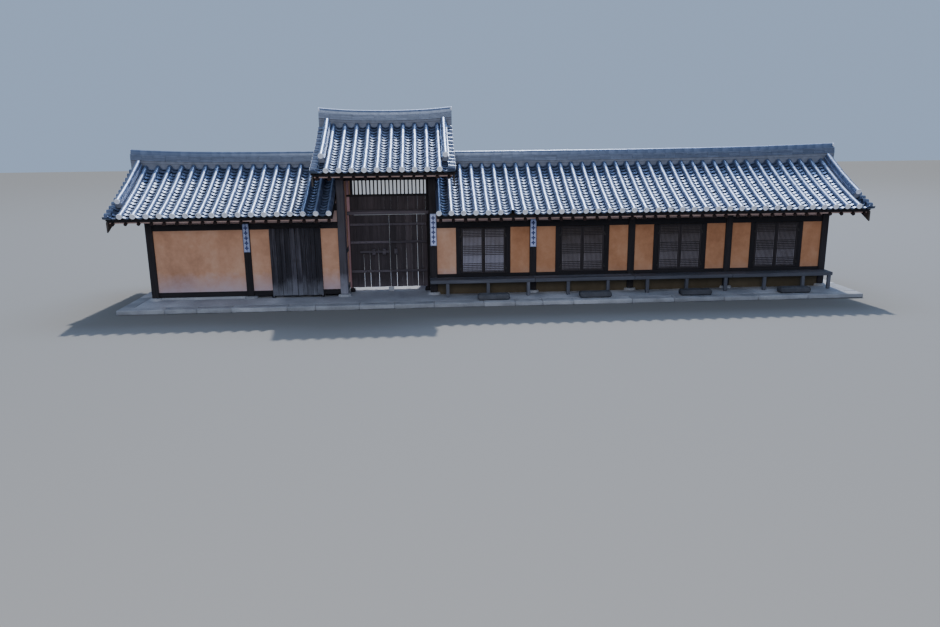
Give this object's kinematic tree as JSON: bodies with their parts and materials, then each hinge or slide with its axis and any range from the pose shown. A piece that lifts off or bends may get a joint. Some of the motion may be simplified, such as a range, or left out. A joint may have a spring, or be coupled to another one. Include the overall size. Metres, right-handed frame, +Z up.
{
  "type": "tiled timber gate range",
  "caption": "One-storey tiled timber range round a courtyard, with a raised gate between lower wings, lattice doors, a narrow porch and a stone platform.",
  "frame": {"origin": "centre of the footprint at the underside of the stone platform", "axes": "+X along the range from left to right as seen from the courtyard, +Y from the courtyard to the street, +Z up"},
  "size_m": [19.62, 4.88, 5.12],
  "materials": {
    "stone": "rough-dressed granite, weathered",
    "earth": "oiled paper over an earth floor",
    "timber": "old oiled pine, matt",
    "weathered_wood": "bare weathered boards, matt",
    "plaster": "smooth ochre earth plaster, with timber rails",
    "lattice": "paper pasted behind a fine lattice",
    "board_paint": "pale worn paint",
    "tile": "fired clay tiles, dark, with a soft sheen"
  },
  "bodies": {
    "range": {"stone_platform": "stone", "step_stone_1": "stone", "step_stone_2": "stone", "step_stone_3": "stone", "step_stone_4": "stone", "right_floor": "earth", "porch": "weathered_wood", "right_front_frame": "timber", "left_front_frame": "timber", "right_rear_wall": "plaster", "left_rear_wall": "plaster", "right_end_wall": "plaster", "left_end_wall": "plaster", "right_panel_1": "plaster", "right_panel_2": "plaster", "right_panel_3": "plaster", "right_panel_4": "plaster", "right_panel_5": "plaster", "right_panel_6": "plaster", "right_panel_7": "plaster", "right_panel_8": "plaster", "left_panel_1": "plaster", "left_panel_2": "plaster", "left_panel_3": "plaster", "gate_front_frame": "timber", "gate_rear_frame": "timber", "gate_side_walls": "plaster", "gate_door_frame": "timber", "gate_bars": "timber", "post_board_1": "board_paint", "post_board_2": "board_paint", "post_board_3": "board_paint", "right_roof_timbers": "timber", "left_roof_timbers": "timber", "right_rafters": "timber", "right_roof_tiles": "tile", "right_bargeboards": "weathered_wood", "left_rafters": "timber", "left_roof_tiles": "tile", "left_bargeboards": "weathered_wood", "gate_rafters": "timber", "gate_roof_tiles": "tile", "gate_left_bargeboards": "weathered_wood", "gate_right_bargeboards": "weathered_wood"},
    "gate_leaf_left": {"gate_leaf_left": "weathered_wood"},
    "gate_leaf_right": {"gate_leaf_right": "weathered_wood"},
    "gate_bar": {"gate_bar": "weathered_wood"},
    "plank_leaf_left": {"plank_leaf_left": "weathered_wood"},
    "plank_leaf_right": {"plank_leaf_right": "weathered_wood"},
    "lattice_leaf_1_left": {"lattice_leaf_1_left": "lattice"},
    "lattice_leaf_1_right": {"lattice_leaf_1_right": "lattice"},
    "lattice_leaf_2_left": {"lattice_leaf_2_left": "lattice"},
    "lattice_leaf_2_right": {"lattice_leaf_2_right": "lattice"},
    "lattice_leaf_3_left": {"lattice_leaf_3_left": "lattice"},
    "lattice_leaf_3_right": {"lattice_leaf_3_right": "lattice"},
    "lattice_leaf_4_left": {"lattice_leaf_4_left": "lattice"},
    "lattice_leaf_4_right": {"lattice_leaf_4_right": "lattice"}
  },
  "joints": [
    {"name": "gate_leaf_left_hinge", "type": "hinge", "parent": "range", "child": "gate_leaf_left", "pos_m": [-3.935, -0.6665, 0.24], "axis": [0, 0, -1], "range_deg": [0, 80]},
    {"name": "gate_leaf_right_hinge", "type": "hinge", "parent": "range", "child": "gate_leaf_right", "pos_m": [-1.865, -0.6665, 0.24], "axis": [0, 0, 1], "range_deg": [0, 80]},
    {"name": "gate_bar_slide", "type": "slide", "parent": "gate_leaf_left", "child": "gate_bar", "axis": [1, 0, 0], "range_m": [0, 0.3]},
    {"name": "plank_leaf_left_hinge", "type": "hinge", "parent": "range", "child": "plank_leaf_left", "pos_m": [-5.9905, -1.2985, 0.18], "axis": [0, 0, -1], "range_deg": [0, 110]},
    {"name": "plank_leaf_right_hinge", "type": "hinge", "parent": "range", "child": "plank_leaf_right", "pos_m": [-4.6895, -1.2985, 0.18], "axis": [0, 0, 1], "range_deg": [0, 110]},
    {"name": "lattice_leaf_1_left_hinge", "type": "hinge", "parent": "range", "child": "lattice_leaf_1_left", "pos_m": [-0.94, -1.279, 0.82], "axis": [0, 0, -1], "range_deg": [0, 165]},
    {"name": "lattice_leaf_1_right_hinge", "type": "hinge", "parent": "range", "child": "lattice_leaf_1_right", "pos_m": [0.26, -1.279, 0.82], "axis": [0, 0, 1], "range_deg": [0, 165]},
    {"name": "lattice_leaf_2_left_hinge", "type": "hinge", "parent": "range", "child": "lattice_leaf_2_left", "pos_m": [1.76, -1.279, 0.82], "axis": [0, 0, -1], "range_deg": [0, 165]},
    {"name": "lattice_leaf_2_right_hinge", "type": "hinge", "parent": "range", "child": "lattice_leaf_2_right", "pos_m": [2.96, -1.279, 0.82], "axis": [0, 0, 1], "range_deg": [0, 165]},
    {"name": "lattice_leaf_3_left_hinge", "type": "hinge", "parent": "range", "child": "lattice_leaf_3_left", "pos_m": [4.46, -1.279, 0.82], "axis": [0, 0, -1], "range_deg": [0, 165]},
    {"name": "lattice_leaf_3_right_hinge", "type": "hinge", "parent": "range", "child": "lattice_leaf_3_right", "pos_m": [5.66, -1.279, 0.82], "axis": [0, 0, 1], "range_deg": [0, 165]},
    {"name": "lattice_leaf_4_left_hinge", "type": "hinge", "parent": "range", "child": "lattice_leaf_4_left", "pos_m": [7.16, -1.279, 0.82], "axis": [0, 0, -1], "range_deg": [0, 165]},
    {"name": "lattice_leaf_4_right_hinge", "type": "hinge", "parent": "range", "child": "lattice_leaf_4_right", "pos_m": [8.36, -1.279, 0.82], "axis": [0, 0, 1], "range_deg": [0, 165]}
  ]
}
